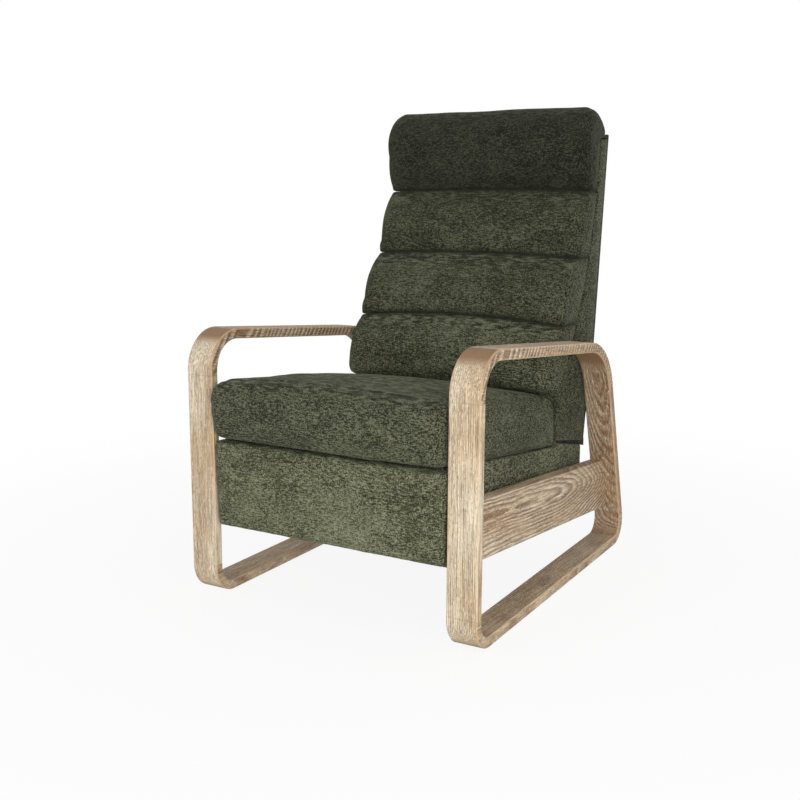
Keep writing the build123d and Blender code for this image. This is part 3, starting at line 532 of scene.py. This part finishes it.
def makeChenille(name, paintedLightGain, crisp, paintedHighlight=None):
    # paintedLightGain: painted light and shade, how light this piece is drawn for how the light falls on
    # it; crisp: how sharply its specks stand out
    # paintedHighlight: a painted highlight, a patch drawn lighter where the light falls
    look = chenilleLook
    material, tree, shader, coords = startMaterial(name)
    place = coords.outputs["Object"]
    normal = coords.outputs["Normal"]
    atSide = rampOf(tree, mathOf(tree, "ABSOLUTE", dotOf(tree, normal, (1, 0, 0))), look["sideStops"])
    onTop = rampOf(tree, mathOf(tree, "ABSOLUTE", dotOf(tree, normal, (0, 0, 1))), look["topStops"])
    slubs = patternOf(tree, place, **look["slubs"])
    sideSlubs = rampOf(tree, patternOf(tree, place, **look["sideSlubs"]), look["sideSlubStops"])
    topSlubs = rampOf(tree, patternOf(tree, place, **look["topSlubs"]), look["topSlubStops"])
    slubs = mixColour(tree, onTop, mixColour(tree, atSide, slubs, sideSlubs), topSlubs)
    uprights = patternOf(tree, place, **look["uprights"])
    speck = noiseOf(tree, place, look["speck"], look["speckDetail"], look["speckRough"])
    lying = plus(tree, times(tree, slubs, look["slubShare"]), times(tree, uprights, look["uprightShare"]))
    weave = plus(tree, times(tree, speck, look["speckShare"]), lying)
    tones = weave
    for drift in ("crushed", "wide"):
        drifting = less(tree, patternOf(tree, place, **look[drift]), 0.5)
        tones = plus(tree, tones, times(tree, drifting, look[drift + "Share"]))
    # painted highlight: a lighter patch where the light falls
    if paintedHighlight:
        reach = paintedHighlight["reach"]
        shift = tuple(-part / r for part, r in zip(paintedHighlight["spot"], reach))
        away = lengthOf(tree, mapped(tree, place, scale=tuple(1 / r for r in reach), shift=shift))
        near = rampOf(tree, away, look["paintedHighlightStops"])
        tones = plus(tree, tones, times(tree, near, paintedHighlight["amount"]))
    # painted light and shade: the piece's tones are made lighter or darker by its gain
    dark, mid, light = (scaled(look[key], paintedLightGain) for key in ("dark", "mid", "light"))
    colour = rampOf(tree, tones, [
        (look["middle"] - look["darkBelow"] / crisp, dark),
        (look["middle"], mid),
        (look["middle"] + look["lightAbove"] / crisp, light),
    ])
    # painted shade: the cover is drawn darker where it runs into a seam or lies against a neighbouring
    # part
    seamShade = addNode(tree, "ShaderNodeAttribute", attribute_name="seamShade")
    depth = times(tree, seamShade.outputs["Fac"], look["seamShadeDepth"])
    colour = mixColour(tree, depth, colour, scaled(dark, look["seamShadeTone"]))
    tree.links.new(colour, shader.inputs["Base Color"])
    for socket, value in (("Roughness", "roughness"), ("Specular IOR Level", "specular"),
                          ("Sheen Weight", "sheen"), ("Sheen Roughness", "sheenRoughness"),
                          ("Sheen Tint", "sheenTint")):
        shader.inputs[socket].default_value = look[value]
    bumpOf(tree, shader, weave, look["bump"], look["bumpDepth"])
    return material


# painted light and shade: the seat boards are drawn lighter and the back boards darker, the same cloth
# under different light
boardShadeAndNap = {"seat": {"paintedLightGain": 1.1, "crisp": 1.0}, "back": {"paintedLightGain": 0.65, "crisp": 1.2}}
seatBoardChenille = makeChenille("oliveChenille_seatBoards", **boardShadeAndNap["seat"])
backBoardChenille = makeChenille("oliveChenille_backBoards", **boardShadeAndNap["back"])


# foam and webbing

foamLook = {
    "cells": 500.0, "stops": [(0.3, (0.62, 0.58, 0.42)), (0.7, (0.78, 0.74, 0.60))],
    "roughness": 0.95, "bump": 0.4, "bumpDepth": 0.0006,
}
webbingLook = {
    "stretch": (700, 60, 60), "stops": [(0.4, (0.012, 0.012, 0.012)), (0.6, (0.05, 0.05, 0.048))],
    "roughness": 0.85, "bump": 0.4, "bumpDepth": 0.0005,
}


def makeSoftFill(name, look):
    material, tree, shader, coords = startMaterial(name)
    place = coords.outputs["Object"]
    if "cells" in look:
        texture = noiseOf(tree, place, look["cells"])
    else:
        texture = patternOf(tree, place, look["stretch"])
    tree.links.new(rampOf(tree, texture, look["stops"]), shader.inputs["Base Color"])
    shader.inputs["Roughness"].default_value = look["roughness"]
    bumpOf(tree, shader, texture, look["bump"], look["bumpDepth"])
    return material


blackWebbing = makeSoftFill("blackWebbing", webbingLook)
dressNode("back_core", makeSoftFill("paleFoam", foamLook))
dressNode("seat_straps", blackWebbing)


# padded pieces, swelled from the shapes of their solids

# proud: how far the cover may stand off its solid; rough: how uneven it is; beside: what holds it
# paintedLightGain: painted light and shade, lighter on the footrest and darker up the back to the head
# roll
padSettings = {
    "seat_cushion": {
        "body": "seat", "voxel": 0.0070, "proud": 0.0040, "rough": 0.0022, "fill": 0.8,
        "paintedLightGain": 0.74, "crisp": 1.35,
        "crown": {"rise": 0.010, "front": (-0.36, 0.18), "rear": (0.05, -0.08), "above": (0.42, 0.05)},
        "beside": (
            "seat_front_deck", "seat_side_board_left", "seat_side_board_right", "lumbar_channel",
            "back_side_panel_left", "back_side_panel_right",
        ),
    },
    "footrest_pad": {
        "body": "footrest", "voxel": 0.0060, "proud": 0.0030, "rough": 0.0014, "fill": 0.8,
        "paintedLightGain": 1.22, "crisp": 1.0,
        # painted highlight on the lower middle of the footrest's front
        "paintedHighlight": {"spot": (0.0, -0.414, 0.225), "reach": (0.28, 0.5, 0.13), "amount": 0.040},
        "flare": {"reach": 0.0045, "above": (0.20, 0.14)},
        "beside": ("footrest_board",),
    },
    "head_roll": {
        "body": "back", "voxel": 0.0060, "proud": 0.0035, "rough": 0.0022, "fill": 0.75,
        "paintedLightGain": 0.27, "crisp": 1.6,
        "beside": ("upper_channel", "back_core", "outer_back_panel", "back_upper_rail"),
    },
    "upper_channel": {
        "body": "back", "voxel": 0.0060, "proud": 0.0035, "rough": 0.0020, "fill": 0.7,
        "paintedLightGain": 0.56, "crisp": 1.35,
        "beside": ("head_roll", "middle_channel", "back_core"),
    },
    "middle_channel": {
        "body": "back", "voxel": 0.0060, "proud": 0.0035, "rough": 0.0020, "fill": 0.7,
        "paintedLightGain": 0.66, "crisp": 1.35,
        "beside": ("upper_channel", "lumbar_channel", "back_core"),
    },
    "lumbar_channel": {
        "body": "back", "voxel": 0.0060, "proud": 0.0035, "rough": 0.0018, "fill": 0.7,
        "paintedLightGain": 0.89, "crisp": 1.3,
        "drop": {"depth": 0.026, "below": (0.53, -0.07)},
        "beside": ("middle_channel", "back_core", "seat_cushion"),
    },
}
padShape = {
    "smoothPasses": 3, "smoothFactor": 0.5,
    "heldWithin": 0.0035, "freeOver": 0.014,  # from a neighbour: held, then let go
    "drawnIn": 0.002, "quickSwell": 0.004, "mostStep": 0.022,
    "freeShare": 0.3, "freeDepth": -0.0012, "heldDepth": 0.0003,
    "slowScale": (7, 9, 11), "quickScale": (24, 24, 30), "quickShare": 0.35,
    "gatherScale": (70, 4), "gatherDepth": 0.0011, "gatherShares": (0.02, 0.9), "gatherSideways": 0.5,
    "seedStep": 3.7,
}
clothSettings = {
    "quality": 2, "mass": 0.3, "tension": 6, "compression": 6, "bending": 0.3, "pressure": 4, "frames": 20,
}
# the seams of the back bow upward in the middle, by height
backArch = (
    (0.30, 0.0), (0.470, 0.0), (0.577, 0.016), (0.731, 0.008), (0.888, 0.004), (1.02, 0.0), (2.0, 0.0),
)
halfBack = 0.281


def archAt(height):
    for (low, rise), (high, nextRise) in zip(backArch, backArch[1:]):
        if height < high:
            share = max(height - low, 0) / (high - low)
            return rise + (nextRise - rise) * share
    return 0.0


def sideShare(x):
    # 0 in the middle of the seat or back, 1 at its sides
    return min(abs(x) / halfBack, 1.0) ** 2


def solidTree(nodeNames):
    bm = bmesh.new()
    for name in nodeNames:
        bm.from_mesh(nodes[name].data)
    found = BVHTree.FromBMesh(bm)
    bm.free()
    return found


def swell(obj, free):
    group = obj.vertex_groups.new(name="held")
    for index, share in enumerate(free):
        if share < 1.0:
            group.add([index], 1.0 - share, "REPLACE")
    choice = clothSettings
    cloth = obj.modifiers.new("padding", "CLOTH")
    cloth.settings.quality = choice["quality"]
    cloth.settings.mass = choice["mass"]
    cloth.settings.tension_stiffness = choice["tension"]
    cloth.settings.compression_stiffness = choice["compression"]
    cloth.settings.bending_stiffness = choice["bending"]
    cloth.settings.use_pressure = True
    cloth.settings.uniform_pressure_force = choice["pressure"]
    cloth.settings.effector_weights.gravity = 0
    cloth.settings.vertex_group_mass = group.name
    cloth.collision_settings.use_collision = False
    cloth.point_cache.frame_start = 1
    cloth.point_cache.frame_end = choice["frames"]
    for number in range(1, choice["frames"] + 1):
        scene.frame_set(number)
    bakeModifiers(obj)
    obj.vertex_groups.clear()
    scene.frame_set(1)


def settle(place, settings):
    # the whole piece's form: bowed seams, a crowned cushion, a flared pad, a roll that sinks
    if settings["body"] == "back":
        place.z += archAt(place.z) * (1 - sideShare(place.x))
    if "crown" in settings:
        crown = settings["crown"]
        along = ramped(place.y, *crown["front"]) * ramped(place.y, *crown["rear"])
        upper = ramped(place.z, *crown["above"])
        place.z += crown["rise"] * along * upper * (1 - sideShare(place.x))
    if "flare" in settings:
        flare = settings["flare"]
        wider = math.copysign(flare["reach"], place.x) * ramped(place.z, *flare["above"])
        place.x += wider * sideShare(place.x)
    if "drop" in settings:
        place.z -= settings["drop"]["depth"] * ramped(place.z, *settings["drop"]["below"])


def makePad(nodeName, settings, seed):
    shape = padShape
    obj = meshObject(nodeName + "_soft", mergedCopy(nodeName))
    remesh = obj.modifiers.new("even", "REMESH")
    remesh.mode = "VOXEL"
    remesh.voxel_size = settings["voxel"]
    bakeModifiers(obj)
    bm = bmesh.new()
    bm.from_mesh(obj.data)
    for _ in range(shape["smoothPasses"]):
        bmesh.ops.smooth_vert(
            bm, verts=bm.verts, factor=shape["smoothFactor"],
            use_axis_x=True, use_axis_y=True, use_axis_z=True,
        )
    shell = solidTree([nodeName])
    beside = solidTree(settings["beside"])
    free = []
    for vert in bm.verts:
        distance = beside.find_nearest(vert.co)[3]
        free.append(ramped(distance, shape["heldWithin"], shape["freeOver"]))
    bm.normal_update()
    for vert, share in zip(bm.verts, free):
        vert.co -= vert.normal * shape["drawnIn"] * share
    bm.to_mesh(obj.data)
    bm.free()
    rest = [vert.co.copy() for vert in obj.data.vertices]
    normals = [vert.normal.copy() for vert in obj.data.vertices]
    swell(obj, free)
    slowX, slowY, slowZ = shape["slowScale"]
    quickX, quickY, quickZ = shape["quickScale"]
    gatherX, gatherZ = shape["gatherScale"]
    gatherLow, gatherHigh = shape["gatherShares"]
    for vert, start, normal, share in zip(obj.data.vertices, rest, normals, free):
        step = vert.co - start
        if step.length > shape["mostStep"]:
            step *= shape["mostStep"] / step.length
        place = start + step
        near, outward, _, _ = shell.find_nearest(place)
        height = (place - near).dot(outward)
        # the cover stays within a few millimetres of the solid, and folds in towards the seams
        low = shape["freeDepth"] if share > shape["freeShare"] else shape["heldDepth"]
        wanted = min(max(height, low), settings["proud"] * share)
        place += outward * (wanted - height)
        slow = noise.noise(Vector((place.x * slowX, place.y * slowY + seed, place.z * slowZ)))
        quick = noise.noise(Vector((place.x * quickX, place.y * quickY, place.z * quickZ + seed)))
        place += normal * share * (slow + shape["quickShare"] * quick) * settings["rough"]
        # small gathers where the cover is sewn down
        if gatherLow < share < gatherHigh and abs(normal.x) < shape["gatherSideways"]:
            gather = noise.noise(Vector((place.x * gatherX, seed, place.z * gatherZ)))
            place += normal * gather * shape["gatherDepth"] * (1 - abs(2 * share - 1))
        settle(place, settings)
        vert.co = place
    # painted shade by the seams and neighbouring parts, kept on the mesh for the cover's colour
    seamShade = obj.data.attributes.new("seamShade", "FLOAT", "POINT")
    for item, share in zip(seamShade.data, free):
        item.value = (1 - share) ** 2
    even = obj.modifiers.new("smooth", "SUBSURF")
    even.levels = 1
    even.render_levels = 1
    bakeModifiers(obj)
    for face in obj.data.polygons:
        face.use_smooth = True
    obj.data.materials.clear()
    obj.data.materials.append(makeChenille(
        f"oliveChenille_{nodeName}", settings["paintedLightGain"], settings["crisp"], settings.get("paintedHighlight"),
    ))
    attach(obj, settings["body"])
    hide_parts(nodeName)
    print("padded", nodeName, len(obj.data.polygons))


for number, (name, settings) in enumerate(padSettings.items()):
    makePad(name, settings, padShape["seedStep"] * number)


# upholstered boards: the cover rounds their edges

boardSettings = {
    "seat_side_board_left": {"body": "seat", "round": 0.0040},
    "seat_side_board_right": {"body": "seat", "round": 0.0040},
    "seat_front_deck": {"body": "seat", "round": 0.0020},
    "seat_front_rail": {"body": "seat", "round": 0.0020},
    "back_side_panel_left": {"body": "back", "round": 0.0030},
    "back_side_panel_right": {"body": "back", "round": 0.0030},
    # its top edge stands up behind the head roll
    "outer_back_panel": {"body": "back", "round": 0.0035, "lift": {"rise": 0.013, "above": (0.94, 0.06)}},
}
boardRound = {"segments": 3, "flatWithin": math.radians(1)}
for name, settings in boardSettings.items():
    bm = mergedCopy(name)
    bmesh.ops.dissolve_limit(bm, angle_limit=boardRound["flatWithin"], verts=bm.verts, edges=bm.edges)
    roundEdges(bm, settings["round"], boardRound["segments"])
    cover = seatBoardChenille if settings["body"] == "seat" else backBoardChenille
    board = meshObject(name + "_covered", bm, cover)
    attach(board, settings["body"])
    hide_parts(name)
    if "lift" in settings:
        for vert in board.data.vertices:
            vert.co.z += settings["lift"]["rise"] * ramped(vert.co.z, *settings["lift"]["above"])
print("covered boards made")


# strips of cloth: cover behind the cushion, and black cloth that closes the dark gaps

def makeStrip(name, settings, material):
    low, high = Vector(settings["low"]), Vector(settings["high"])
    bm = bmesh.new()
    bmesh.ops.create_cube(bm, size=1.0)
    bmesh.ops.scale(bm, verts=bm.verts, vec=high - low)
    bmesh.ops.translate(bm, verts=bm.verts, vec=(low + high) / 2)
    roundEdges(bm, settings["round"], 2)
    strip = meshObject(name, bm, material, smooth=False)
    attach(strip, settings["body"])


# cover that runs down from the lowest roll, behind the cushion
apronSettings = {
    "low": (-0.2790, 0.1474, 0.3000), "high": (0.2790, 0.1490, 0.4620), "round": 0.0005,
    "body": "back", "sewnTo": ["lumbar_channel", "back_core"],
}
# the apron takes the back boards' darker cover and its painted shade
makeStrip("lumbar_apron", apronSettings, backBoardChenille)

# under the foam of the back
underSettings = {
    "low": (-0.2620, 0.1500, 0.3328), "high": (0.2620, 0.3240, 0.3342), "round": 0.0004,
    "body": "back", "sewnTo": ["back_core"],
}
makeStrip("back_under_cloth", underSettings, blackWebbing)

# along the foot of the outer back panel
tailSettings = {
    "low": (-0.2803, 0.3262, 0.2645), "high": (0.2803, 0.3276, 0.2835), "round": 0.0004,
    "body": "back", "sewnTo": ["outer_back_panel"],
}
makeStrip("back_tail_strip", tailSettings, blackWebbing)

# inside the seat box, behind the cushion's lower edge and the slot under the back's side panels
leftCoverSettings = {
    "low": (0.2612, 0.0300, 0.2620), "high": (0.2626, 0.2680, 0.3220), "round": 0.0004,
    "body": "seat", "sewnTo": ["seat_side_board_left"],
}
rightCoverSettings = {
    "low": (-0.2626, 0.0300, 0.2620), "high": (-0.2612, 0.2680, 0.3220), "round": 0.0004,
    "body": "seat", "sewnTo": ["seat_side_board_right"],
}
makeStrip("dust_cover_left", leftCoverSettings, blackWebbing)
makeStrip("dust_cover_right", rightCoverSettings, blackWebbing)


# camera, light and backdrop

cameraSettings = {
    "place": (1.2250, -2.1668, 0.8933),
    "forward": (-0.5002, 0.8445, -0.1914),
    "roll": math.radians(0.21),
    "lens": 48.56,
    "sensor": 36,
}
cameraData = bpy.data.cameras.new("camera")
cameraData.lens = cameraSettings["lens"]
cameraData.sensor_width = cameraSettings["sensor"]
camera = bpy.data.objects.new("camera", cameraData)
scene.collection.objects.link(camera)
camera.location = cameraSettings["place"]
aim = Vector(cameraSettings["forward"]).to_track_quat("-Z", "Y")
camera.rotation_mode = "QUATERNION"
camera.rotation_quaternion = aim @ Euler((0, 0, -cameraSettings["roll"])).to_quaternion()
scene.camera = camera

lightTarget = Vector((0, 0, 0.35))
lightSettings = {
    "key": {"place": (2.2, -2.5, 0.9), "size": 1.6, "power": 64},
    "fill": {"place": (-1.8, -2.6, 1.2), "size": 2.2, "power": 27},
    "top": {"place": (0.1, -0.2, 3.0), "size": 2.4, "power": 11},
    "back": {"place": (0.9, 2.6, 1.5), "size": 1.8, "power": 12},
}
for name, values in lightSettings.items():
    lamp = bpy.data.lights.new(name, "AREA")
    lamp.size = values["size"]
    lamp.energy = values["power"]
    holder = bpy.data.objects.new(name, lamp)
    scene.collection.objects.link(holder)
    holder.location = values["place"]
    holder.rotation_mode = "QUATERNION"
    holder.rotation_quaternion = (lightTarget - Vector(values["place"])).to_track_quat("-Z", "Y")


def seenDirectly(tree):
    path = addNode(tree, "ShaderNodeLightPath")
    seen = mathOf(tree, "MAXIMUM", path.outputs["Is Camera Ray"], path.outputs["Is Glossy Ray"])
    return mathOf(tree, "MAXIMUM", seen, path.outputs["Is Transmission Ray"])


worldLight = 0.33
world = bpy.data.worlds.new("studio")
scene.world = world
world.use_nodes = True
tree = world.node_tree
background = tree.nodes["Background"]
studio = plus(tree, times(tree, seenDirectly(tree), 1.0 - worldLight), worldLight)
tree.links.new(studio, background.inputs["Strength"])
background.inputs["Color"].default_value = (1, 1, 1, 1)

# the floor fades to plain white away from the chair and keeps the shadow under it
floorSettings = {
    "reach": 40, "sides": 64, "colour": (0.86, 0.86, 0.86, 1), "roughness": 0.8,
    "fadeFrom": 0.6, "fadeTo": 2.0, "nearGlow": 0.90,
}
bm = bmesh.new()
bmesh.ops.create_circle(bm, cap_ends=True, segments=floorSettings["sides"], radius=floorSettings["reach"])
floorMaterial, tree, shader, coords = startMaterial("paleFloor")
shader.inputs["Base Color"].default_value = floorSettings["colour"]
shader.inputs["Roughness"].default_value = floorSettings["roughness"]
glow = addNode(tree, "ShaderNodeEmission", Color=(1, 1, 1, 1), Strength=1.0)
blend = addNode(tree, "ShaderNodeMixShader")
fade = addNode(tree, "ShaderNodeMapRange", interpolation_type="SMOOTHSTEP")
for socket, value in (("From Min", floorSettings["fadeFrom"]), ("From Max", floorSettings["fadeTo"]),
                      ("To Min", floorSettings["nearGlow"]), ("To Max", 1.0)):
    fade.inputs[socket].default_value = value
tree.links.new(lengthOf(tree, coords.outputs["Object"]), fade.inputs["Value"])
tree.links.new(times(tree, seenDirectly(tree), fade.outputs["Result"]), blend.inputs[0])
link(tree, shader, "BSDF", blend, 1)
link(tree, glow, "Emission", blend, 2)
link(tree, blend, "Shader", tree.nodes["Material Output"], "Surface")
floor = meshObject("floor", bm, floorMaterial, smooth=False)

scene.view_settings.view_transform = "Standard"
